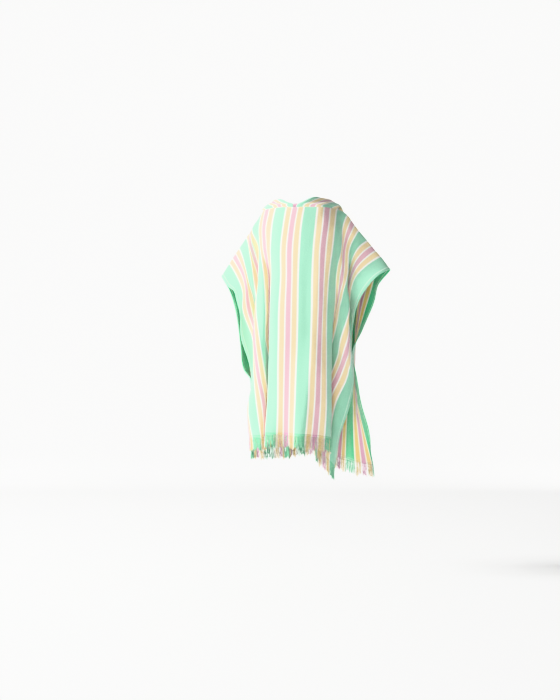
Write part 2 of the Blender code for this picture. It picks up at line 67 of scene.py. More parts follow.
STRAND_LENGTH = 40.0    # free length of a strand
YARNS = 8               # yarns in each strand
YARN_WIDTH = 1.6        # width of a yarn at its root
ROOT_SPREAD = 0.93      # width of a strand at its root, as a share of the room it has
TIP_SPREAD = 0.80       # the same at its tip
LEAN = 2.2              # a strand's tip leans up to half of this to either side
STRAY = 1.1             # a yarn's tip strays up to this far from its strand
STITCH_PITCH = 3.4      # from one stitch to the next
STITCH_LENGTH = 2.6
THREAD = 0.34           # radius of the sewing thread
STRIPE_PERIOD = 96.0    # one repeat of the stripes, from lilac to lilac

# grid of the fine cloth
HALF_STEPS_SLIT = 25    # columns from the centre line to the end of the slit
HALF_STEPS_SLEEVE = 47  # columns from there to the side edge
FRONT_ROWS = 141
BACK_ROWS = 148
HOOD_LINES = 62         # points along each hood line
HOOD_COLUMNS = 58       # hood lines from the face edge to the centre back
SLIT_ROW = 4            # the row that gives the way the cloth runs towards the slit

# ---- drape tables ----
# key: distance across the cloth from the centre line
# value: points down the cloth from the shoulder fold (or the slit) to the hem, each x, y, z;
# a point given as x, y lies at the next of these levels below the point before it
FRONT_LEVELS = (-64, -113, -210, -308, -406, -503, -601)
BACK_LEVELS = (-64, -113, -210, -308, -454, -601)


def at_levels(levels, table):
    """The drape table with a height for every point."""
    full = {}
    for key, points in table.items():
        line = []
        for point in points:
            if len(point) == 2:
                point += (next(level for level in levels if level < line[-1][2]),)
            line.append(point)
        full[key] = line
    return full


FRONT_LEFT = at_levels(FRONT_LEVELS, {
    0: [(8, -72, -3), (3.5, -95), (0, -103), (0, -110), (-1, -116), (-1, -122), (-1, -128), (-1, -134),
        (0, -139, -679)],
    48: [(53, -60, -3), (52, -87), (51, -95), (47, -101), (47, -105), (46, -109), (47, -127), (47, -139),
        (45, -152, -681)],
    96: [(98, -38, -4), (102, -70), (98, -80), (95, -87), (93, -90), (90, -92), (93, -113), (90, -117),
        (84, -122, -685)],
    126: [(121, 0, -10), (125, -48), (124, -60), (112, -64), (106, -66), (105, -68), (111, -91),
        (112, -95), (110, -100, -690)],
    162: [(150, 0, -25), (140, -20), (140, -30), (125, -34), (119, -34), (115, -38), (115, -44, -454),
        (118, -58), (119, -62), (120, -66, -696)],
    192: [(168, 0, -50), (165, -14), (147, -8), (148, -46), (118, -8), (96, -29), (90, -34, -454),
        (99, -41), (95, -46), (94, -50, -704)],
    222: [(188, 0, -76), (169, -14), (160, -36), (139, -41), (116, -25), (100, -22, -454), (82, -26),
        (70, -34), (66, -40, -718)],
    258: [(213, 0, -104), (200, -12), (153, -2), (170, -48), (141, -50), (129, -36, -454), (107, -18),
        (62, -14), (60, -14, -736)],
    288: [(233, 0, -128), (195, -25, -164), (168, -14), (161, -24), (170, -46), (157, -48, -454),
        (133, -30), (88, -12), (84, -20, -752)],
    318: [(256, 0, -154), (190, -32), (160, -6), (161, -18), (168, -22, -454), (160, -12), (122, -22),
        (104, -26, -770)],
    360: [(285, 0, -191), (254, -34), (221, -40, -247), (186, -30), (174, -14, -350), (162, 8, -400),
        (160, 15, -454), (168, 14), (160, -4), (128, -4, -700), (116, -10, -786)],
})
FRONT_RIGHT = at_levels(FRONT_LEVELS, {
    0: FRONT_LEFT[0],
    48: [(-41, -62, -3), (-43, -90), (-47, -96), (-46, -99), (-49, -110), (-49, -117), (-49, -123),
        (-48, -129), (-47, -151, -679)],
    66: [(-57, -52, -4), (-62, -80), (-64, -86), (-64, -84), (-64.5, -97), (-65.5, -104), (-66, -112),
        (-67, -120), (-65, -146, -679)],
    88: [(-83, -41, -5.5), (-88, -65), (-84, -72), (-73, -62), (-68, -75), (-66, -82), (-63, -91),
        (-63, -99), (-62, -127, -681)],
    104: [(-100, -27, -8.5), (-101, -54), (-97, -61), (-81, -62), (-76, -74), (-74, -80), (-70, -75, -440),
        (-62, -77), (-60, -83), (-60, -111, -682)],
    126: [(-117, 0, -16), (-117, -36), (-112, -48), (-90, -84), (-79, -99), (-78, -102), (-76, -87, -440),
        (-67, -63), (-60, -64), (-60, -92, -684)],
    144: [(-127, 2, -30), (-132, -24), (-119, -33), (-103, -71), (-95, -95), (-80, -110), (-74, -80),
        (-67, -57), (-65, -82, -685)],
    162: [(-137.5, 3, -45.6), (-146, -12), (-123, -18), (-113, -58), (-111, -82), (-90, -112), (-77, -106),
        (-73, -86), (-71, -104, -686)],
    192: [(-154.5, 5, -70), (-150, -28), (-138, -32, -150), (-118, -30), (-122, -56), (-111, -108),
        (-98, -112), (-78, -114), (-75, -118, -687)],
    222: [(-172, 5, -95), (-158, -18), (-138, -38), (-128, -30), (-119, -84), (-116, -97), (-101, -119),
        (-83, -134, -688)],
    258: [(-192.5, 5, -125), (-181, -14, -137), (-155, -36), (-138, -8), (-123, -60), (-122, -65),
        (-132, -99), (-113, -120, -690)],
    288: [(-210, 5, -150), (-167, -32), (-152, -34), (-125, -36), (-130, -38), (-140, -70),
        (-131, -94, -693)],
    318: [(-227, 5, -175), (-197, -18), (-172, -31, -265), (-173, -32), (-143, -22), (-139, -14),
        (-146, -42), (-138, -64, -696)],
    360: [(-251, 5, -211), (-222, -20, -241), (-200, -28, -256), (-190, -32, -284), (-180, -34, -320),
        (-176, -30, -400), (-158, -10, -474), (-155, 9, -536), (-155, 10, -556), (-152, 0, -620),
        (-140, -30, -702)],
})
BACK_LEFT = at_levels(BACK_LEVELS, {
    0: [(0, 46, -2), (0, 78), (0, 88), (0, 95), (0, 98), (0, 99), (2, 110), (2, 120, -724)],
    48: [(46, 38, -3), (47, 70), (47, 80), (47, 90), (46, 98), (44, 108), (40, 126), (32, 138, -728)],
    96: [(92, 22, -6), (95, 50), (95, 62), (92, 82), (88, 96), (77, 128), (66, 112), (56, 104, -736)],
    126: [(121, 0, -10), (123, 30), (122, 44), (114, 64), (108, 76), (92, 104), (76, 88), (58, 78, -744)],
    162: [(150, 0, -25), (150, 18), (148, 30), (134, 44), (124, 56), (104, 76), (92, 84), (78, 94, -756)],
    192: [(168, 0, -50), (166, 10), (164, 30), (152, 46), (140, 66), (120, 92), (108, 106), (95, 117, -766)],
    222: [(188, 0, -76), (180, 22), (168, 54), (154, 72), (137, 106), (127, 104), (120, 102, -768)],
    258: [(213, 0, -104), (200, 16, -130), (183, 52), (167, 60), (152, 84), (148, 82), (152, 86, -775)],
    288: [(233, 0, -128), (222, 18, -160), (198, 50, -220), (174, 64), (158, 62), (165, 61),
        (172, 74, -690), (180, 92, -781)],
    318: [(256, 0, -154), (238, 24, -190), (214, 54, -250), (190, 64, -320), (162, 40), (175, 43),
        (190, 63, -690), (203, 104, -784)],
    360: [(285, 0, -191), (235, 40, -244), (222, 58, -283), (186, 46, -375), (160, 20), (172, 22, -503),
        (190, 22), (206, 50, -680), (190, 132, -776)],
})
BACK_RIGHT = at_levels(BACK_LEVELS, {
    0: BACK_LEFT[0],
    48: [(-46, 38, -3), (-47, 70), (-47, 80), (-47, 90), (-46, 98), (-44, 108), (-40, 124),
        (-34, 136, -726)],
    96: [(-92, 20, -6), (-94, 50), (-94, 62), (-92, 82), (-88, 96), (-76, 126), (-66, 112),
        (-58, 102, -728)],
    126: [(-117, 0, -16), (-118, 28), (-117, 44), (-112, 64), (-107, 76), (-92, 104), (-78, 88),
        (-58, 78, -730)],
    162: [(-137.5, 3, -45.6), (-138, 22, -80), (-138, 34, -120), (-132, 46), (-124, 56), (-104, 78),
        (-92, 84), (-78, 92, -732)],
    192: [(-154.5, 5, -70), (-153, 24, -100), (-148, 36, -140), (-144, 48), (-140, 64), (-122, 92),
        (-108, 104), (-94, 116, -734)],
    222: [(-172, 5, -95), (-168, 24, -120), (-162, 44, -170), (-156, 58, -230), (-154, 68), (-138, 106),
        (-128, 108), (-118, 112, -736)],
    258: [(-192.5, 5, -125), (-188, 26, -150), (-180, 44, -200), (-174, 54, -250), (-168, 58), (-156, 84),
        (-148, 92), (-144, 98, -738)],
    288: [(-210, 5, -150), (-205, 28, -175), (-196, 46, -230), (-184, 58), (-170, 66), (-160, 68),
        (-158, 76, -734)],
    318: [(-227, 5, -175), (-220, 32), (-208, 50, -270), (-200, 54, -330), (-182, 50), (-166, 42, -570),
        (-164, 52, -732)],
    360: [(-251, 5, -211), (-234, 38, -262), (-222, 46), (-210, 44, -370), (-200, 34, -427),
        (-186, 24, -500), (-158, 16, -536), (-155, 15, -556), (-160, 20, -620), (-164, 26, -730)],
})

# hood halves: one line of points per share of the base, from the face opening to the centre back;
# each line starts above the seam at the neck and runs to the seam along the crown
HOOD_LEFT = {
    0.00: [(30, -60, 16), (54, -38, 29), (78, 2, 21), (92, 56, 10), (74, 114, -10), (0, 146, -24)],
    0.33: [(96, -31, 5), (102, -6, 11), (110, 32, 7), (109, 78, -13), (84, 126, -48), (0, 160, -84)],
    0.42: [(113, -12, 3), (117, 5, 8), (120, 28, 4), (119, 66, -17), (100, 112, -54), (42, 154, -92),
        (0, 161, -104)],
    0.50: [(122, 5, 0), (124, 15, 0), (126, 32, -9), (125, 60, -26), (112, 100, -62), (66, 148, -106),
        (0, 163, -122)],
    0.58: [(108, 14, 0), (110, 22, 0), (113, 33, -9), (116, 50, -30), (110, 84, -66), (90, 124, -108),
        (46, 152, -130), (0, 164, -140)],
    0.67: [(88, 23, 4), (89, 31, 4), (93, 43, -5), (99, 56, -21), (104, 76, -52), (96, 110, -104),
        (58, 142, -146), (0, 163, -160)],
    0.83: [(46, 38, 7), (46, 46, 11), (48, 57, 8), (51, 71, -4), (54, 84, -28), (54, 98, -84),
        (44, 118, -152), (0, 150, -186)],
    1.00: [(0, 46, 9), (0, 54, 14), (0, 65, 13), (0, 79, 2), (0, 91, -22), (0, 101, -80), (0, 108, -150),
        (0, 120, -198)],
}
HOOD_RIGHT = {
    0.00: [(-18, -60, 12), (-44, -42, 22), (-70, 2, 15), (-86, 56, 4), (-72, 114, -12), (0, 146, -24)],
    0.33: [(-89, -30, 3), (-96, -6, 8), (-105, 32, 4), (-105, 78, -17), (-82, 126, -52), (0, 160, -84)],
    0.42: [(-107, -13, -3), (-112, 4, 2), (-116, 28, -2), (-115, 66, -23), (-98, 112, -58),
        (-42, 154, -94), (0, 161, -104)],
    0.50: [(-118, 5, -7), (-120, 15, -7), (-122, 32, -15), (-122, 60, -32), (-110, 100, -66),
        (-66, 148, -108), (0, 163, -122)],
    0.58: [(-105, 14, -5), (-107, 22, -5), (-110, 33, -14), (-113, 50, -35), (-108, 84, -70),
        (-90, 124, -110), (-46, 152, -132), (0, 164, -140)],
    0.67: [(-86, 23, 2), (-87, 31, 2), (-91, 43, -8), (-96, 56, -25), (-101, 76, -55), (-94, 110, -106),
        (-58, 142, -147), (0, 163, -160)],
    0.83: [(-46, 38, 6), (-46, 46, 10), (-48, 57, 7), (-51, 71, -6), (-53, 84, -30), (-54, 98, -86),
        (-44, 118, -153), (0, 150, -186)],
    1.00: HOOD_LEFT[1.00],
}
HOOD_STAND = 5.0        # the hood carries straight on from the cloth for this far above the seam
HOOD_CLOTH = 2.3        # thickness of the hood's cloth
HOOD_HEM = 14.0         # width of the hem along the face edge
HOOD_SETTLE = 14.0      # above the seam the hood eases into its own shape over this distance
HOOD_CALM = 16.0        # creases fade out over this distance from the hood's seams

# ---- creases ----
# across and down at one end, across and down at the other, bow, half width, height (a trough is negative)
FRONT_CREASES = [
    (-118, 6, -104, 150, 6, 9, 1.8), (-96, 4, -60, 130, -8, 10, -1.4), (118, 6, 108, 170, -6, 9, 1.8),
    (98, 4, 64, 140, 8, 10, -1.4), (-30, 10, -22, 120, 3, 12, 1.0), (34, 12, 26, 150, -3, 12, 0.9),
    (-38, 160, -30, 520, 7, 13, 1.5), (4, 210, 10, 640, -6, 16, -1.5), (40, 120, 46, 430, 5, 12, 1.3),
    (66, 260, 58, 660, -7, 12, 1.7), (-70, 300, -62, 600, 5, 11, -1.4), (-14, 430, -20, 690, 3, 11, 1.4),
    (26, 470, 30, 695, -3, 10, 1.6), (-48, 520, -52, 695, 2, 9, -1.7), (76, 500, 80, 695, 3, 9, -1.8),
    (92, 120, 84, 330, 5, 9, 1.4), (104, 330, 98, 560, -4, 10, -1.6), (120, 420, 128, 690, 4, 11, 1.9),
    (-100, 420, -112, 690, -5, 11, 1.9), (-140, 500, -150, 690, 3, 10, -1.9),
    (150, 20, 196, 210, 16, 11, 2.3), (176, 40, 232, 250, 14, 10, -2.2), (206, 30, 268, 270, 12, 11, 2.2),
    (240, 40, 300, 300, 10, 11, -1.8), (160, 230, 236, 400, 12, 12, 2.4),
    (214, 260, 286, 420, 10, 10, -2.1), (262, 300, 340, 424, 8, 9, 2.2), (286, 360, 350, 440, 5, 7, -1.9),
    (280, 470, 344, 440, -4, 8, 2.0), (250, 560, 330, 456, -8, 11, 2.2), (220, 620, 300, 500, -8, 12, -2.0),
    (176, 560, 182, 695, 4, 12, 2.0), (246, 590, 258, 696, 4, 11, 1.9), (300, 560, 322, 696, 5, 12, -1.8),
    (330, 60, 338, 240, 6, 12, 1.4), (-150, 30, -190, 200, -14, 11, 2.3),
    (-180, 50, -228, 260, -14, 10, -2.2), (-212, 40, -262, 250, -10, 11, 2.2),
    (-250, 50, -300, 240, -8, 11, -1.7), (-170, 260, -230, 420, -12, 12, 2.3),
    (-218, 300, -290, 440, -10, 11, -2.1), (-262, 330, -336, 452, -8, 9, 2.3),
    (-300, 380, -352, 470, -5, 7, -1.9), (-290, 540, -350, 486, 5, 8, 2.1),
    (-250, 610, -334, 510, 9, 11, -2.1), (-190, 560, -200, 695, 4, 12, 2.1),
    (-228, 600, -238, 696, -4, 11, -1.9), (-276, 590, -296, 696, 5, 12, 1.9),
    (-334, 80, -340, 260, -6, 12, 1.3),
]
BACK_CREASES = [
    (-60, 8, -76, 210, 6, 13, 1.6), (62, 8, 80, 220, -6, 13, 1.6), (-20, 40, -12, 380, 8, 15, -1.5),
    (30, 60, 36, 420, -8, 15, 1.5), (0, 300, 4, 700, 6, 16, 1.8), (-46, 260, -58, 640, -8, 14, -1.8),
    (56, 320, 66, 720, 8, 14, -1.9), (-92, 300, -104, 700, 6, 13, 1.9), (96, 180, 104, 560, -6, 13, 1.8),
    (-126, 60, -150, 330, -10, 12, -1.8), (130, 60, 152, 340, 10, 12, -1.8),
    (-160, 30, -214, 260, -14, 12, 2.2), (-200, 40, -262, 300, -12, 12, -2.1),
    (-240, 60, -306, 340, -10, 11, 2.2), (-270, 240, -340, 450, -8, 10, -2.1),
    (-220, 330, -330, 470, -10, 11, 2.3), (-250, 610, -340, 500, 8, 11, 2.1),
    (-300, 580, -350, 500, 5, 8, -2.0), (160, 30, 216, 270, 14, 12, 2.2), (204, 40, 266, 300, 12, 12, -2.1),
    (246, 70, 310, 330, 10, 11, 2.2), (276, 240, 342, 420, 8, 10, -2.1), (226, 310, 330, 440, 10, 11, 2.3),
    (256, 590, 340, 474, -8, 11, 2.1), (300, 560, 350, 470, -5, 8, -2.0),
    (-140, 480, -150, 730, 5, 13, 2.1), (-186, 560, -196, 730, -5, 12, -2.1),
    (-240, 640, -250, 732, 4, 11, 1.9), (146, 480, 152, 730, -5, 13, -2.0),
    (190, 520, 200, 730, 5, 12, 2.1), (240, 600, 256, 732, 4, 12, -2.0), (296, 580, 316, 732, 4, 12, 1.9),
    (-30, 560, -34, 732, 3, 11, 1.8), (24, 600, 28, 732, -3, 10, -1.8), (-74, 580, -78, 732, 3, 10, 1.8),
    (90, 620, 96, 732, 3, 10, 1.8), (-330, 60, -338, 230, -6, 12, 1.4), (330, 60, 338, 230, 6, 12, 1.4),
]
# the same for each hood half: from the face edge and up from the neck seam
HOOD_CREASES = [
    (6, 20, 60, 120, 8, 9, 1.6), (30, 10, 90, 90, 6, 9, -1.4), (60, 20, 110, 150, -8, 10, 1.7),
    (96, 10, 130, 120, 8, 10, -1.6), (130, 14, 150, 150, -6, 10, 1.6), (20, 120, 60, 230, -6, 11, 1.6),
    (60, 130, 100, 220, 6, 10, -1.5), (110, 150, 130, 240, 5, 10, 1.5), (160, 20, 170, 140, 5, 10, -1.4),
    (150, 150, 160, 230, -5, 9, 1.5), (44, 60, 20, 150, 5, 8, 1.2),
]


# ---- curves ----
def unit(vectors):
    """Vectors scaled to length one."""
    lengths = np.linalg.norm(vectors, axis=-1, keepdims=True)
    return vectors / np.maximum(lengths, 1e-9)


def curve(marks, values, at, first=None):
    """Smooth curve through the values given at the marks; first sets the slope at its start."""
    marks = np.asarray(marks, float)
    values = np.asarray(values, float)
    at = np.asarray(at, float)
    steps = np.diff(marks)
    rises = np.diff(values, axis=0) / steps[:, None]
    slope = np.empty_like(values)
    before = steps[:-1, None]
    after = steps[1:, None]
    slope[1:-1] = (rises[:-1] * after + rises[1:] * before) / (before + after)
    slope[0] = 1.5 * rises[0] - 0.5 * slope[1]
    slope[-1] = 1.5 * rises[-1] - 0.5 * slope[-2]
    if first is not None:
        slope[0] = first
    cell = np.clip(np.searchsorted(marks, at, side="right") - 1, 0, len(marks) - 2)
    t = ((at - marks[cell]) / steps[cell])[:, None]
    wide = steps[cell][:, None]
    return ((1 + 2 * t) * (1 - t) ** 2 * values[cell] + t * (1 - t) ** 2 * wide * slope[cell]
            + t * t * (3 - 2 * t) * values[cell + 1] + t * t * (t - 1) * wide * slope[cell + 1])


def run_length(points):
    """Distance along a line of points up to each of them."""
    hops = np.linalg.norm(np.diff(points, axis=0), axis=1)
    return np.concatenate([[0.0], np.cumsum(hops)])


def between(at, marks, values):
    """Vectors at places between the marks, from the vectors at the marks."""
    return np.stack([np.interp(at, marks, values[:, axis]) for axis in range(3)], axis=-1)


def along(points, shares):
    """Points at the given shares of the length of a line of points."""
    reach = run_length(points)
    return between(np.asarray(shares, float) * reach[-1], reach, points)


def column(points, other, shares):
    """One line down the cloth; where the cloth runs over the fold it leaves it without a kink."""
    points = np.asarray(points, float)
    other = np.asarray(other, float)
    marks = run_length(points)
    first = None
    if np.allclose(points[0], other[0]):
        span = marks[1] + np.linalg.norm(other[1] - other[0])
        first = (points[1] - other[1]) / span
    fine = curve(marks, points, np.linspace(0.0, marks[-1], 480), first)
    return along(fine, shares)


def panel(left, right, other_left, other_right, across, shares):
    """Points of one face of the cloth, front or back, as columns by rows."""
    lines = {}
    for table, others, side in ((right, other_right, -1), (left, other_left, 1)):
        for key, points in table.items():
            twin = others.get(key)
            if twin is None:
                twin = [(0.0, 0.0, 0.0), (0.0, 0.0, 1.0)]
            lines[side * key] = column(points, twin, shares)
    keys = sorted(lines)
    stack = np.array([lines[key] for key in keys])
    room = np.clip((HALF_WIDTH - np.abs(across)) / SOFTEN, 0.0, 1.0)
    rows = []
    for row in range(len(shares)):
        blend = 0.0
        for shift, weight in ((-1.0, 1 / 9), (-0.5, 2 / 9), (0.0, 3 / 9), (0.5, 2 / 9), (1.0, 1 / 9)):
            blend = blend + weight * curve(keys, stack[:, row], across + shift * SOFTEN * room)
        rows.append(blend)
    return np.stack(rows, axis=1)


def creased(spots, creases):
    """Height of the soft ridges and troughs at each place (across, down) on the cloth."""
    height = np.zeros(len(spots))
    for u0, v0, u1, v1, bow, half_width, rise in creases:
        start = np.array([u0, v0], float)
        way = np.array([u1 - u0, v1 - v0], float)
        size = np.linalg.norm(way)
        way = way / size
        side = np.array([-way[1], way[0]])
        away = spots - start
        t = away @ way / size
        inside = np.clip(t, 0.0, 1.0)
        off = away @ side - bow * 4 * inside * (1 - inside)
        over = (t - inside) * size
        fade = np.sin(np.pi * np.clip(0.06 + 0.88 * inside, 0, 1)) ** 0.7
        height += rise * fade * np.exp(-(off / half_width) ** 2 - (over / half_width) ** 2)
    return height


def uneven(spots, seed):
    """Slow unevenness of soft cloth, about one millimetre, from a few crossing waves."""
    rng = np.random.default_rng(seed)
    height = np.zeros(len(spots))
    for _ in range(14):
        wave = rng.uniform(45, 150)
        turn = rng.uniform(0, math.pi)
        way = np.array([math.cos(turn), math.sin(turn)])
        height += np.sin(2 * math.pi * (spots @ way) / wave + rng.uniform(0, 6.3)) * wave / 1000
    return height * 0.55


# ---- meshes ----
def grid_quads(ids, flip):
    """Four-sided faces between neighbours in a grid of point numbers."""
    a, b = ids[:-1, :-1].ravel(), ids[:-1, 1:].ravel()
    c, d = ids[1:, 1:].ravel(), ids[1:, :-1].ravel()
    return np.stack([a, d, c, b] if flip else [a, b, c, d], axis=1)


def ring_faces(count, sides):
    """Faces of a closed tube made of rings of points."""
    faces = []
    for i in range(count - 1):
        for j in range(sides):
            n = (j + 1) % sides
            faces.append([i * sides + j, i * sides + n, (i + 1) * sides + n, (i + 1) * sides + j])
    faces.append(list(range(sides))[::-1])
    faces.append([(count - 1) * sides + j for j in range(sides)])
    return faces


def point_normals(points, quads):
    """Unit normal of each point, from the faces that meet there."""
    quads = np.asarray(quads)
    corners = points[quads]
    face = np.cross(corners[:, 2] - corners[:, 0], corners[:, 3] - corners[:, 1])
    normals = np.zeros_like(points)
    for k in range(4):
        np.add.at(normals, quads[:, k], face)
    return unit(normals)


def thick_sheet(points, normals, quads, thickness, spots):
    """Cloth with two faces and a rounded edge: points, faces, cloth places and face sides."""
    count = len(points)
    quads = np.asarray(quads)
    half = np.asarray(thickness)[:, None] / 2
    directed = {}
    for k in range(4):
        for a, b in zip(quads[:, k].tolist(), quads[:, (k + 1) % 4].tolist()):
            directed[(a, b)] = True
    rim = [(a, b) for (a, b) in directed if (b, a) not in directed]
    outward = {}
    for a, b in rim:
        push = np.cross(points[b] - points[a], normals[a] + normals[b])
        for end in (a, b):
            outward[end] = outward.get(end, 0.0) + push
    rim_points = sorted(outward)
    place = {end: 2 * count + n for n, end in enumerate(rim_points)}
    pushed = np.array([outward[end] for end in rim_points])
    middle = points[rim_points] + unit(pushed) * half[rim_points] * 0.8
    shell = np.concatenate([points + normals * half, points - normals * half, middle])
    faces = quads.tolist() + (quads[:, ::-1] + count).tolist()
    sides = [0] * len(quads) + [1] * len(quads)
    for a, b in rim:
        faces.append([b, a, place[a], place[b]])
        faces.append([place[b], place[a], a + count, b + count])
        sides += [0, 1]
    places = np.concatenate([spots, spots, spots[rim_points]])
    return shell, faces, places, sides


def make_piece(name, points, faces, spots, materials, sides=None):
    """A smooth mesh object in metres; its UV map holds the place on the flat cloth, in metres."""
    mesh = bpy.data.meshes.new(name)
    mesh.from_pydata((np.asarray(points) * MM).tolist(), [], [list(face) for face in faces])
    loops = np.empty(len(mesh.loops), int)
    mesh.loops.foreach_get("vertex_index", loops)
    layer = mesh.uv_layers.new(name="UVMap")
    layer.data.foreach_set("uv", (np.asarray(spots)[loops] * MM).astype(np.float32).ravel())
    for material in materials:
        mesh.materials.append(material)
    if sides is not None:
        mesh.polygons.foreach_set("material_index", np.asarray(sides, dtype=np.int32))
    mesh.shade_smooth()
    mesh.validate()
    mesh.update()
    thing = bpy.data.objects.new(name, mesh)
    bpy.context.scene.collection.objects.link(thing)
    return thing


class Parts:
    """Many small closed shapes gathered into one mesh."""

    def __init__(self):
        self.points, self.faces, self.spots = [], [], []
        self.count = 0

    def add(self, points, faces, spots):
        self.points.append(np.asarray(points, float))
        self.spots.append(np.asarray(spots, float))
        self.faces += [[i + self.count for i in face] for face in faces]
        self.count += len(points)

    def tube(self, path, widths, flat=1.0, turns=0.0, sides=6, spot=(0.0, 0.0), up=(0.3, 1.0, 0.2)):
        """Tube along a path; flat under 1 squeezes its section and turns twists it."""
        path = np.asarray(path, float)
        count = len(path)
        ways = unit(np.gradient(path, axis=0))
        first = unit(np.cross(ways, np.asarray(up, float)))
        second = np.cross(ways, first)
        angles = np.arange(sides) * 2 * math.pi / sides
        wind = np.linspace(0, turns * 2 * math.pi, count)[:, None]
        widths = np.broadcast_to(np.asarray(widths, float), (count,))[:, None]
        one = np.cos(angles)[None, :] * widths / 2
        two = np.sin(angles)[None, :] * widths / 2 * flat
        a = one * np.cos(wind) - two * np.sin(wind)
        b = one * np.sin(wind) + two * np.cos(wind)
        rings = path[:, None] + a[..., None] * first[:, None] + b[..., None] * second[:, None]
        reach = run_length(path)
        spots = np.stack([np.full(count * sides, spot[0]), spot[1] + np.repeat(reach, sides)], axis=1)
        self.add(rings.reshape(-1, 3), ring_faces(count, sides), spots)

    def piece(self, name, materials):
        return make_piece(name, np.concatenate(self.points), self.faces, np.concatenate(self.spots),
                          materials)


def stitch_row(parts, line, normals):
    """A row of stitches lying along a line on the cloth."""
    reach = run_length(line)
    starts = np.arange(int(reach[-1] / STITCH_PITCH)) * STITCH_PITCH
    steps = np.array([0.0, 0.16, 0.5, 0.84, 1.0])
    lifts = np.array([-0.45, 0.12, 0.3, 0.12, -0.45])
    for start in starts:
        goal = start + steps * STITCH_LENGTH
        path = between(goal, reach, line)
        face = unit(between(goal, reach, normals))
        parts.tube(path + face * lifts[:, None], 2 * THREAD, sides=5, up=face[2], spot=(start, 0.0))


# ---- the cloth ----
def body_surface():
    """Middle surface of the folded cloth on the fine grid, and where its edges lie."""
    slit = np.linspace(0, SLIT_HALF, HALF_STEPS_SLIT + 1)
    sleeve = np.linspace(SLIT_HALF, HALF_WIDTH, HALF_STEPS_SLEEVE + 1)[1:]
    half = np.concatenate([slit, sleeve])
    across = np.concatenate([-half[:0:-1], half])
    front_rows = np.linspace(0, 1, FRONT_ROWS)
    back_rows = np.linspace(0, 1, BACK_ROWS)
    front = panel(FRONT_LEFT, FRONT_RIGHT, BACK_LEFT, BACK_RIGHT, across, front_rows)
    back = panel(BACK_LEFT, BACK_RIGHT, FRONT_LEFT, FRONT_RIGHT, across, back_rows)
    shared = np.abs(across) >= SLIT_HALF - 1e-6
    fold = (front[shared, 0] + back[shared, 0]) / 2
    front[shared, 0] = fold
    back[shared, 0] = fold
    wide = len(across)
    front_id = np.arange(wide * FRONT_ROWS).reshape(wide, FRONT_ROWS)
    back_id = np.arange(wide * BACK_ROWS).reshape(wide, BACK_ROWS) + wide * FRONT_ROWS
    back_id[shared, 0] = front_id[shared, 0]
    points = np.concatenate([front.reshape(-1, 3), back.reshape(-1, 3)])
    places = []
    for rows, length, turn in ((front_rows, FRONT_LENGTH, 1.0), (back_rows, BACK_LENGTH, -1.0)):
        u, v = np.meshgrid(across, rows * length * turn, indexing="ij")
        places.append(np.stack([u.ravel(), v.ravel()], axis=1))
    spots = np.concatenate(places)
    quads = np.concatenate([grid_quads(front_id, False), grid_quads(back_id, True)])
    used = np.unique(quads)
    place = np.full(len(points), -1)
    place[used] = np.arange(len(used))
    points, spots, quads = points[used], spots[used], place[quads]
    front_id, back_id = place[front_id], place[back_id]
    normals = point_normals(points, quads)
    height = uneven(spots, 4)
    is_front = spots[:, 1] >= 0
    height[is_front] += creased(spots[is_front], FRONT_CREASES)
    height[~is_front] += creased(spots[~is_front] * [1, -1], BACK_CREASES)
    near_slit = np.exp(-((np.abs(spots[:, 1]) / 14) ** 2)) * (np.abs(spots[:, 0]) < SLIT_HALF + 20)
    height = height * (1 - near_slit)
    points = points + normals * height[:, None]
    normals = point_normals(points, quads)
    edges = {"across": across, "front": front_id, "back": back_id}
    return points, normals, quads, spots, edges


def cloth_thickness(spots):
    """Thickness of the cloth: folded side hems, a flat woven band at both ends, terry between."""
    side = np.abs(spots[:, 0])
    down = np.where(spots[:, 1] >= 0, FRONT_LENGTH - spots[:, 1], BACK_LENGTH + spots[:, 1])
    thick = np.full(len(spots), TERRY)
    seam = HALF_WIDTH - HEM_WIDTH
    thick = np.where(side > seam, HEM_FOLD, thick)
    thick = thick - 1.3 * np.exp(-((side - seam) / HEM_DIP) ** 2)
    blend = np.clip((down - FLAT_WEAVE) / 3.0 + 1, 0, 1)
    return FLAT_THICK + (thick - FLAT_THICK) * blend


def neck_path(side, points, normals, edges):
    """Slit edge from the centre front round one side to the centre back."""
    across = edges["across"]
    picked = [i for i in range(len(across)) if 1e-6 < side * across[i] <= SLIT_HALF + 1e-6]
    picked.sort(key=lambda i: abs(across[i]))
    centre = int(np.argmin(np.abs(across)))
    front, back = edges["front"], edges["back"]
    end = picked[-1]
    rims = [(front[i, 0], front[i, SLIT_ROW]) for i in [centre] + picked[:-1]]
    rims.append((front[end, 0], -1))
    rims += [(back[i, 0], back[i, SLIT_ROW]) for i in picked[-2::-1] + [centre]]
    spots, rises, faces = [], [], []
    for rim, inside in rims:
        spots.append(points[rim])
        faces.append(normals[rim])
        if inside < 0:
            below = (points[front[end, SLIT_ROW]] + points[back[end, SLIT_ROW]]) / 2
            rises.append(unit(points[rim] - below))
        else:
            rises.append(unit(points[rim] - points[inside]))
    return np.array(spots), np.array(rises), np.array(faces)


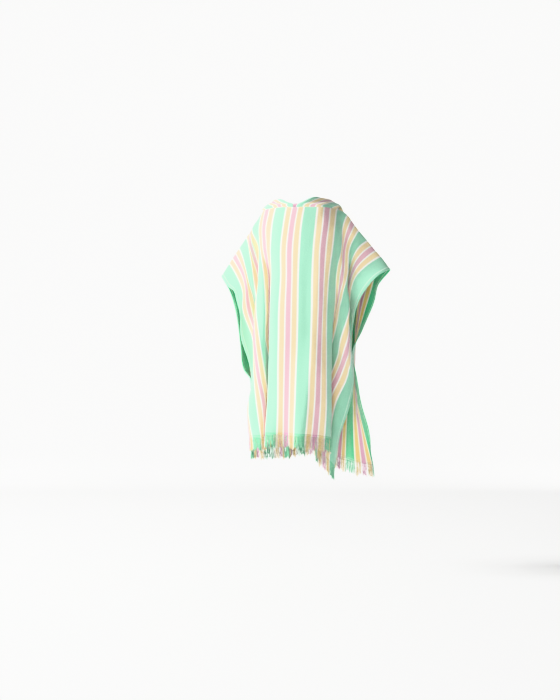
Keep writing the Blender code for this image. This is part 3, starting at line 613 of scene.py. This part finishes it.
def hood_surface(side, table, points, normals, edges):
    """Middle surface of one hood half: grid of points, unit normals and cloth places."""
    spots, rises, faces = neck_path(side, points, normals, edges)
    reach = run_length(spots)
    goal = np.linspace(FACE_GAP, reach[-1], HOOD_COLUMNS)
    base = between(goal, reach, spots)
    rise = unit(between(goal, reach, rises))
    face = unit(between(goal, reach, faces))
    keys = sorted(table)
    roots = between(np.maximum(np.array(keys) * reach[-1], FACE_GAP), reach, spots)
    lifts = unit(between(np.array(keys) * reach[-1], reach, rises))
    rows = np.linspace(0, 1, HOOD_LINES)
    lines, lengths = [], []
    for root, lift, key in zip(roots, lifts, keys):
        line = np.array([root, root + lift * HOOD_STAND] + list(table[key]), float)
        marks = run_length(line)
        lengths.append(marks[-1])
        lines.append(curve(marks, line, rows * marks[-1]))
    lines = np.array(lines)
    shares = goal / reach[-1]
    grid = np.stack([curve(keys, lines[:, row], shares) for row in range(HOOD_LINES)], axis=1)
    tall = np.interp(shares, keys, lengths)
    up = rows[None, :] * tall[:, None]
    step = base + rise * SEAM_GAP - grid[:, 0]
    grid = grid + step[:, None] * np.exp(-(up / HOOD_SETTLE) ** 2)[..., None]
    middle_gap = SEAM_GAP / 2 + HOOD_CLOTH / 2
    grid[:, 1:, 0] = side * np.maximum(side * grid[:, 1:, 0], middle_gap)
    grid[-1, :, 0] = side * SEAM_GAP / 2
    grid[:, -1, 0] = side * SEAM_GAP / 2
    ids = np.arange(HOOD_COLUMNS * HOOD_LINES).reshape(HOOD_COLUMNS, HOOD_LINES)
    quads = grid_quads(ids, side > 0)
    hops = np.linalg.norm(np.diff(grid, axis=0), axis=2)
    from_face = np.concatenate([np.zeros((1, HOOD_LINES)), np.cumsum(hops, axis=0)])
    places = np.stack([from_face.ravel(), up.ravel()], axis=1)
    flat = grid.reshape(-1, 3)
    out = point_normals(flat, quads)
    fade = 1 - np.exp(-(up.ravel() / HOOD_CALM) ** 2)
    fade = fade * (1 - np.exp(-((tall[:, None] - up).ravel() / HOOD_CALM) ** 2))
    height = (creased(places, HOOD_CREASES) + uneven(places, 9 + side)) * fade
    flat = flat + out * height[:, None]
    flat[:, 0] = side * np.maximum(side * flat[:, 0], SEAM_GAP / 2)
    out = point_normals(flat, quads).reshape(HOOD_COLUMNS, HOOD_LINES, 3)
    if np.sum(out[:, 1] * face) < 0:
        face = -face
    out[:, 0] = face
    out[-1, :, 0] = 0.0
    out[:, -1, 0] = 0.0
    out[-1, -1] = (0.0, 0.0, -1.0)
    return flat, unit(out).reshape(-1, 3), quads, places, ids


# ---- fringe ----
def fringe_mesh(name, rim, above, across, points, normals, turn, materials):
    """Woven strip below the hem and the strands under it, each a clump of twisted yarns."""
    rng = np.random.default_rng(21 if turn > 0 else 22)
    down = unit(points[rim] - points[above])
    parts = Parts()
    fine = np.linspace(-HALF_WIDTH, HALF_WIDTH, 361)
    base = between(fine, across, points[rim])
    fall = unit(between(fine, across, down))
    face = unit(between(fine, across, normals[rim]))
    profile = [(0.0, 0.75), (HEADING * 0.5, 0.95), (HEADING, 0.75)]
    rings = [base + fall * drop + face * thick for drop, thick in profile]
    rings += [base + fall * drop - face * thick for drop, thick in reversed(profile)]
    rings = np.stack(rings, axis=1)
    deep = len(profile) * 2
    faces = [face_ids[::turn] for face_ids in ring_faces(len(fine), deep)]
    spots = np.stack([np.repeat(fine, deep), np.tile([0, 3, 6, 6, 3, 0], len(fine))], axis=1)
    parts.add(rings.reshape(-1, 3), faces, spots)
    pitch = 2 * HALF_WIDTH / STRANDS
    for k in range(STRANDS):
        centre = -HALF_WIDTH + (k + 0.5) * pitch
        reach = STRAND_LENGTH * (1.0 + 0.07 * math.sin(2.3 * k) + 0.05 * math.sin(5.1 * k + 1.0))
        lean = rng.uniform(-0.5, 0.5)
        for n in range(YARNS):
            share = (n + 0.5) / YARNS - 0.5
            root = centre + share * pitch * ROOT_SPREAD
            tip = centre + share * pitch * TIP_SPREAD + lean * LEAN + rng.uniform(-STRAY, STRAY)
            at = np.clip(np.array([root, tip]), -HALF_WIDTH, HALF_WIDTH)
            top, low = between(at, across, points[rim])
            drop = unit(between(at, across, down))
            out = unit(between(at, across, normals[rim]))
            hang = unit(0.45 * drop[0] + np.array([0.0, 0.0, -0.55]))
            size = reach * rng.uniform(0.9, 1.07)
            start = top + drop[0] * (HEADING - 1.0)
            end = start + hang * size + (low - top) * 0.9 + out[0] * rng.uniform(-1.6, 1.6)
            t = np.linspace(0, 1, 10)[:, None]
            path = start + (end - start) * t + drop[0] * (t * (1 - t) * size * 0.25)
            bend = rng.uniform(-1.1, 1.1) * np.sin(t * math.pi * rng.uniform(1.2, 2.4))
            weave = rng.uniform(-0.9, 0.9) * np.sin(t * math.pi * rng.uniform(1.0, 2.2))
            side_way = unit(np.cross(drop[0], out[0]))
            path = path + side_way * bend + out[0] * weave
            width = YARN_WIDTH * np.interp(t[:, 0], [0, 0.9, 1], [1.0, 0.97, 0.7])
            parts.tube(path, width, flat=0.66, turns=rng.uniform(2.2, 3.0), spot=(root, 8.0), up=out[0])
    return parts.piece(name, materials)


def tack_mesh(name, level, edge_front, edge_back, points, normals, materials):
    """Short bar of threads that holds the two side edges together."""
    parts = Parts()
    count = 9
    for n in range(count):
        height = level + TACK_HEIGHT * ((n + 0.5) / count - 0.5)
        ends = []
        for ids in (edge_front, edge_back):
            ids = ids[np.argsort(points[ids][:, 2])]
            levels = points[ids][:, 2]
            ends.append((between(height, levels, points[ids]), unit(between(height, levels, normals[ids]))))
        (near, near_face), (far, far_face) = ends
        for turn in (1, -1):
            path = [near + near_face * turn * HEM_FOLD * 0.42, (near + far) / 2
                    + unit(near_face + far_face) * turn * HEM_FOLD * 0.30,
                    far + far_face * turn * HEM_FOLD * 0.42]
            path = curve([0, 1, 2], np.array(path), np.linspace(0, 2, 9))
            parts.tube(path, 1.1, spot=(0.0, height))
    return parts.piece(name, materials)


# ---- materials ----
def srgb(red, green, blue):
    """Linear colour from the usual 0 to 255 values."""
    out = []
    for value in (red, green, blue):
        value = value / 255
        out.append(value / 12.92 if value < 0.04045 else ((value + 0.055) / 1.055) ** 2.4)
    return tuple(out) + (1.0,)


OUTSIDE = {"mint": srgb(156, 213, 185), "white": srgb(244, 243, 236),
           "yellow": srgb(239, 219, 175), "lilac": srgb(224, 182, 192)}
# painted shade: the inner face of the cloth gets darker, deeper copies of the stripe colours, standing in
# for the shade and bounced light inside the folds
INSIDE_PAINTED_SHADE = {"mint": srgb(92, 190, 140), "white": srgb(238, 236, 222),
          "yellow": srgb(232, 205, 136), "lilac": srgb(212, 164, 184)}
YARN = {"mint": srgb(134, 208, 168), "white": srgb(238, 238, 226),
        "yellow": srgb(232, 208, 152), "lilac": srgb(220, 168, 192)}

# where each colour starts, as a share of the way from the middle of lilac to the middle of mint
STRIPES = [(0.0, "lilac"), (0.145, "white"), (0.235, "yellow"), (0.520, "white"), (0.630, "mint")]
SOFT_EDGE = 0.008       # half width of the change from one colour to the next, as a share
RAGGED = 0.0008         # the stripes' edges waver by this much, metres
EDGE_BAND = 0.318       # beyond this distance from the centre line the cloth is mint, metres


class Nodes:
    """Short calls for adding and linking the shader nodes of a new material."""

    def __init__(self, name):
        self.material = bpy.data.materials.new(name)
        self.material.use_nodes = True
        self.tree = self.material.node_tree
        self.shader = self.tree.nodes["Principled BSDF"]

    def put(self, node, inputs):
        """Link each input of a node to a socket, or set its value."""
        for key, value in inputs.items():
            if isinstance(value, bpy.types.NodeSocket):
                self.tree.links.new(value, node.inputs[key])
            else:
                node.inputs[key].default_value = value

    def add(self, kind, inputs=None, **settings):
        node = self.tree.nodes.new(kind)
        for key, value in settings.items():
            setattr(node, key, value)
        self.put(node, inputs or {})
        return node

    def math(self, operation, *values):
        return self.add("ShaderNodeMath", dict(enumerate(values)), operation=operation).outputs[0]

    def mix(self, share, one, two, blend="MIX"):
        return self.add("ShaderNodeMix", {0: share, 6: one, 7: two}, data_type="RGBA",
                        blend_type=blend).outputs[2]

    def ramp(self, share, stops):
        node = self.add("ShaderNodeValToRGB", {0: share})
        items = node.color_ramp.elements
        while len(items) < len(stops):
            items.new(0.5)
        for item, (spot, colour) in zip(items, stops):
            item.position = spot
            item.color = colour
        return node.outputs[0]

    def stretched(self, place, stretch):
        return self.add("ShaderNodeMapping", {0: place, "Scale": stretch}).outputs[0]

    def noise(self, place, scale, detail=2.0, rough=0.5, stretch=(1, 1, 1)):
        return self.add("ShaderNodeTexNoise", {"Vector": self.stretched(place, stretch), "Scale": scale,
                                               "Detail": detail, "Roughness": rough}).outputs[0]

    def wave(self, place, scale, direction):
        return self.add("ShaderNodeTexWave", {"Vector": place, "Scale": scale}, wave_type="BANDS",
                        bands_direction=direction).outputs[1]

    def bump(self, height, strength, distance):
        return self.add("ShaderNodeBump", {"Height": height, "Strength": strength,
                                           "Distance": distance}).outputs[0]


def stripe_colour(n, place, looks, hood=False):
    """Colour of the striped cloth from its place across the width, and that place split in two."""
    split = n.add("ShaderNodeSeparateXYZ", {0: place})
    ragged = n.math("MULTIPLY_ADD", n.noise(place, 900, 1.0), 2 * RAGGED, -RAGGED)
    across = n.math("ADD", split.outputs[0], ragged)
    half_period = STRIPE_PERIOD * MM / 2
    if hood:
        across = n.math("ADD", across, half_period)
    share = n.math("DIVIDE", n.math("PINGPONG", across, half_period), half_period)
    stops = [(STRIPES[0][0], looks[STRIPES[0][1]])]
    for (spot, name), (_, before) in zip(STRIPES[1:], STRIPES[:-1]):
        stops.append((spot - SOFT_EDGE, looks[before]))
        stops.append((spot + SOFT_EDGE, looks[name]))
    colour = n.ramp(share, stops)
    if hood:
        return colour, split
    side = n.math("ABSOLUTE", across)
    band = n.math("GREATER_THAN", side, EDGE_BAND)
    colour = n.mix(band, colour, looks["mint"])
    seam = n.math("COMPARE", side, (HALF_WIDTH - HEM_WIDTH) * MM, 0.0011)
    colour = n.mix(n.math("MULTIPLY", seam, 0.35), colour, looks["white"])
    return colour, split


def cotton(name, looks, hood=False, yarn=False):
    """Terry cloth, or the twisted yarn of the fringe, with the stripes of the towel."""
    n = Nodes(name)
    place = n.add("ShaderNodeUVMap", uv_map="UVMap").outputs[0]
    colour, split = stripe_colour(n, place, looks, hood)
    nap = n.noise(place, 420 if yarn else 34, 3.0, 0.6, (1.0, 0.6, 1.0))
    low = 0.72 if yarn else 0.93
    colour = n.mix(1.0, colour, n.ramp(nap, [(0.35, (low, low, low, 1)), (0.65, (1.0, 1.0, 1.0, 1))]),
                   "MULTIPLY")
    squeezed = n.stretched(place, (1.0, 0.3, 1.0) if yarn else (1.0, 0.72, 1.0))
    loops = n.add("ShaderNodeTexVoronoi", {"Vector": squeezed}, feature="SMOOTH_F1")
    n.put(loops, {"Scale": 1500 if yarn else 620, "Smoothness": 0.6, "Randomness": 0.8})
    # painted shade: the colour darkens towards the edge of each loop cell, in the gaps where the bump sinks
    # between the loops
    depth = n.ramp(loops.outputs["Distance"], [(0.0, (1.0, 1.0, 1.0, 1)), (0.85, (0.80, 0.80, 0.80, 1))])
    colour = n.mix(0.75, colour, depth, "MULTIPLY")
    tuft = n.noise(place, 210, 3.0, 0.65)
    height = n.math("MULTIPLY_ADD", loops.outputs["Distance"], -0.9, n.math("MULTIPLY", tuft, 1.1))
    if not yarn and not hood:
        down = n.math("ABSOLUTE", split.outputs[1])
        length = n.math("MULTIPLY_ADD", n.math("GREATER_THAN", split.outputs[1], 0.0),
                        (FRONT_LENGTH - BACK_LENGTH) * MM, BACK_LENGTH * MM)
        plain = n.math("GREATER_THAN", n.math("ADD", down, FLAT_WEAVE * MM), length)
        weave = n.math("MULTIPLY", n.wave(place, 260, "Y"), plain)
        height = n.math("ADD", n.math("MULTIPLY", height, n.math("SUBTRACT", 1.0, plain)),
                        n.math("MULTIPLY", weave, 0.35))
    rough = n.ramp(tuft, [(0.2, (0.86, 0.86, 0.86, 1)), (0.8, (1.0, 1.0, 1.0, 1))])
    n.put(n.shader, {"Base Color": colour, "Normal": n.bump(height, 0.7, 0.0004 if yarn else 0.0011),
                     "Roughness": rough, "Sheen Weight": 0.7, "Sheen Roughness": 0.5,
                     "Specular IOR Level": 0.15})
    return n.material


def thread_material():
    """Off-white sewing thread with a fine twist."""
    n = Nodes("sewing_thread")
    place = n.add("ShaderNodeUVMap", uv_map="UVMap").outputs[0]
    twist = n.wave(place, 700, "DIAGONAL")
    # painted shade: the colour darkens, with a faint green tint, into the grooves of the twist, where the
    # bump sinks
    colour = n.ramp(twist, [(0.0, srgb(206, 226, 206)), (1.0, srgb(240, 246, 234))])
    n.put(n.shader, {"Base Color": colour, "Normal": n.bump(twist, 0.5, 0.0002), "Roughness": 0.6,
                     "Sheen Weight": 0.2})
    return n.material


def floor_material():
    """Plain pale floor with a faint mottle."""
    n = Nodes("pale_floor")
    place = n.add("ShaderNodeTexCoord").outputs["Object"]
    mottle = n.ramp(n.noise(place, 3.0), [(0.3, (0.93, 0.93, 0.925, 1)), (0.7, (0.95, 0.95, 0.945, 1))])
    n.put(n.shader, {"Base Color": mottle, "Roughness": 0.75})
    return n.material


# ---- the object ----
def side_lines(points, normals, edges, which, at, turn):
    """Line down the cloth at one distance across, on its outer or inner face."""
    across = edges["across"]
    ids = edges[which]
    place = int(np.clip(np.searchsorted(across, at) - 1, 0, len(across) - 2))
    share = (at - across[place]) / (across[place + 1] - across[place])
    one, two = ids[place], ids[place + 1]
    line = points[one] * (1 - share) + points[two] * share
    face = unit(normals[one] * (1 - share) + normals[two] * share)
    return line + face * turn * (TERRY / 2 - 0.1), face * turn


def enter(piece, replaced=None):
    """Tell the frame what a piece rides on, and hide the node that the piece stands for."""
    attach(piece, "root")
    if replaced:
        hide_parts(replaced)


def dress():
    """Every visible piece of the towel."""
    terry = cotton("striped_terry", OUTSIDE)
    # the inner faces of cloth and hood take the darker stripe colours, which are painted shade
    inside = cotton("striped_terry_inside_painted_shade", INSIDE_PAINTED_SHADE)
    hood_out = cotton("hood_terry", OUTSIDE, hood=True)
    hood_in_painted_shade = cotton("hood_terry_inside_painted_shade", INSIDE_PAINTED_SHADE, hood=True)
    yarn = cotton("fringe_yarn", YARN, yarn=True)
    thread = thread_material()

    points, normals, quads, spots, edges = body_surface()
    shell = thick_sheet(points, normals, quads, cloth_thickness(spots), spots)
    cloth = make_piece("towel_cloth", shell[0], shell[1], shell[2], [terry, inside], shell[3])
    enter(cloth, "body_cloth")

    front, back, across = edges["front"], edges["back"], edges["across"]
    for name, ids, turn in (("front_fringe", front, 1), ("back_fringe", back, -1)):
        piece = fringe_mesh(name + "_yarns", ids[:, -1], ids[:, -2], across, points, normals, turn, [yarn])
        enter(piece, name)

    for name, end, level in (("side_tack_left", -1, TACK_LEVEL_LEFT),
                             ("side_tack_right", 0, TACK_LEVEL_RIGHT)):
        piece = tack_mesh(name + "_threads", level, front[end], back[end], points, normals, [thread])
        enter(piece, name)

    sewing = Parts()
    seam = HALF_WIDTH - HEM_WIDTH
    for which in ("front", "back"):
        for at in (-seam, seam):
            for turn in (1, -1):
                line, face = side_lines(points, normals, edges, which, at, turn)
                stitch_row(sewing, line[1:-2], face[1:-2])
    hem_stitches = sewing.piece("hem_stitches", [thread])
    enter(hem_stitches)

    hood_sewing = Parts()
    for name, side, table in (("hood_left", 1, HOOD_LEFT), ("hood_right", -1, HOOD_RIGHT)):
        flat, out, faces, places, ids = hood_surface(side, table, points, normals, edges)
        thick = np.where(places[:, 0] < HOOD_HEM, HOOD_CLOTH + 1.0, HOOD_CLOTH)
        thick = thick - 1.2 * np.exp(-((places[:, 0] - HOOD_HEM) / HEM_DIP) ** 2)
        thick = np.maximum(thick, 1.4)
        shell = thick_sheet(flat, out, faces, thick, places)
        shell[0][:, 0] = side * np.maximum(side * shell[0][:, 0], SEAM_GAP / 2)
        piece = make_piece(name + "_cloth", shell[0], shell[1], shell[2], [hood_out, hood_in_painted_shade], shell[3])
        enter(piece, name)
        grid = flat.reshape(ids.shape + (3,))
        faces_out = out.reshape(ids.shape + (3,))
        width = places[:, 0].reshape(ids.shape)
        rows = range(2, HOOD_LINES - 3)
        hem_line = np.array([between(HOOD_HEM, width[:, row], grid[:, row]) for row in rows])
        hem_face = unit(np.array([between(HOOD_HEM, width[:, row], faces_out[:, row]) for row in rows]))
        for turn in (1, -1):
            stitch_row(hood_sewing, hem_line + hem_face * turn * 0.75, hem_face * turn)
        low = 3
        stitch_row(hood_sewing, grid[3:-3, low] + faces_out[3:-3, low] * (HOOD_CLOTH / 2 - 0.1),
                   faces_out[3:-3, low])
    hood_stitches = hood_sewing.piece("hood_stitches", [thread])
    enter(hood_stitches)


# ---- the stage, metres unless said otherwise ----
AZIMUTH = math.radians(17.0)        # the camera stands this far to the left, as worn, of the front
ELEVATION = math.radians(2.0)       # and this far above it
DISTANCE = 6.0                      # from the camera to the point in the middle of its picture
PIXEL = 3.05                        # millimetres in each of the picture's 700 rows
FRAME_TALL = 700 * PIXEL * MM       # height of the picture at the neck slit
NECK_RIGHT = 19.5 * PIXEL * MM      # the neck slit lies this far right of the picture's middle
NECK_UP = 143 * PIXEL * MM          # and this far above it
FLOOR_LEVEL = -1.12
FLOOR_HALF = 12.0                   # half width of the floor and backdrop
FLOOR_NEAR = -9.0                   # the floor starts this far in front of the towel
BEND_START = 4.0                    # and bends up into the backdrop this far behind it
BEND_RADIUS = 2.5
BACKDROP_TOP = 9.0
WORLD_LIGHT = 0.20                  # strength of the white world
# name, right of the towel, towards the camera, above it, width, watts, faces away from the camera
LIGHTS = [("key", -3.7, 0.4, 1.4, 1.2, 570, False), ("front", -0.2, 3.6, 1.2, 1.8, 68, False),
          ("back", 0.9, -2.2, 2.4, 2.2, 12, False), ("backdrop", -2.2, -2.4, 1.0, 2.4, 150, True),
          ("backdrop", 2.2, -2.4, 1.0, 2.4, 150, True)]


def camera_axes():
    """Right, up and towards-the-camera directions of the view."""
    right = np.array([math.cos(AZIMUTH), math.sin(AZIMUTH), 0.0])
    away = np.array([math.sin(AZIMUTH) * math.cos(ELEVATION), -math.cos(AZIMUTH) * math.cos(ELEVATION),
                     math.sin(ELEVATION)])
    return right, np.cross(away, right), away


def add_camera():
    """Camera at the photograph's angle; returns the point in the middle of its picture."""
    right, up, away = camera_axes()
    middle = -NECK_RIGHT * right - NECK_UP * up
    data = bpy.data.cameras.new("camera")
    data.sensor_fit = "VERTICAL"
    data.sensor_height = 24.0
    data.lens = data.sensor_height * DISTANCE / FRAME_TALL
    camera = bpy.data.objects.new("camera", data)
    camera.location = middle + away * DISTANCE
    camera.rotation_euler = (math.pi / 2 - ELEVATION, 0.0, AZIMUTH)
    bpy.context.scene.collection.objects.link(camera)
    bpy.context.scene.camera = camera
    return middle


def add_light(middle, name, right_by, toward_by, up_by, size, power, flipped):
    """Soft round light that faces the towel or, flipped, the backdrop."""
    right, _, away = camera_axes()
    data = bpy.data.lights.new(name, "AREA")
    data.shape = "DISK"
    data.size = size
    data.energy = power
    light = bpy.data.objects.new(name, data)
    spot = middle + right * right_by + away * toward_by + np.array([0.0, 0.0, up_by])
    light.location = spot
    way = away if flipped else spot - middle
    tilt = math.acos(way[2] / np.linalg.norm(way))
    light.rotation_euler = (tilt, 0.0, math.atan2(way[1], way[0]) + math.pi / 2)
    bpy.context.scene.collection.objects.link(light)


def add_stage():
    """Pale floor that curves up into a pale backdrop, soft lights and a white world."""
    middle = add_camera()
    profile = [(FLOOR_NEAR, 0.0), (BEND_START, 0.0)]
    for n in range(1, 13):
        turn = n / 12 * math.pi / 2
        profile.append((BEND_START + BEND_RADIUS * math.sin(turn),
                        BEND_RADIUS - BEND_RADIUS * math.cos(turn)))
    profile.append((BEND_START + BEND_RADIUS, BACKDROP_TOP))
    right, _, away = camera_axes()
    flat_away = unit(np.array([away[0], away[1], 0.0]))
    points, faces = [], []
    for depth, height in profile:
        for wide in (-FLOOR_HALF, FLOOR_HALF):
            spot = right * wide - flat_away * depth
            points.append((spot[0], spot[1], FLOOR_LEVEL + height))
    for i in range(len(profile) - 1):
        faces.append((2 * i, 2 * i + 1, 2 * i + 3, 2 * i + 2))
    mesh = bpy.data.meshes.new("floor")
    mesh.from_pydata(points, [], faces)
    mesh.materials.append(floor_material())
    mesh.shade_smooth()
    floor = bpy.data.objects.new("floor", mesh)
    bpy.context.scene.collection.objects.link(floor)
    for light in LIGHTS:
        add_light(middle, *light)
    world = bpy.data.worlds.new("studio")
    world.use_nodes = True
    background = world.node_tree.nodes["Background"]
    background.inputs[0].default_value = (1.0, 1.0, 1.0, 1.0)
    background.inputs[1].default_value = WORLD_LIGHT
    bpy.context.scene.world = world
    bpy.context.scene.view_settings.view_transform = "Khronos PBR Neutral"


dress()
add_stage()
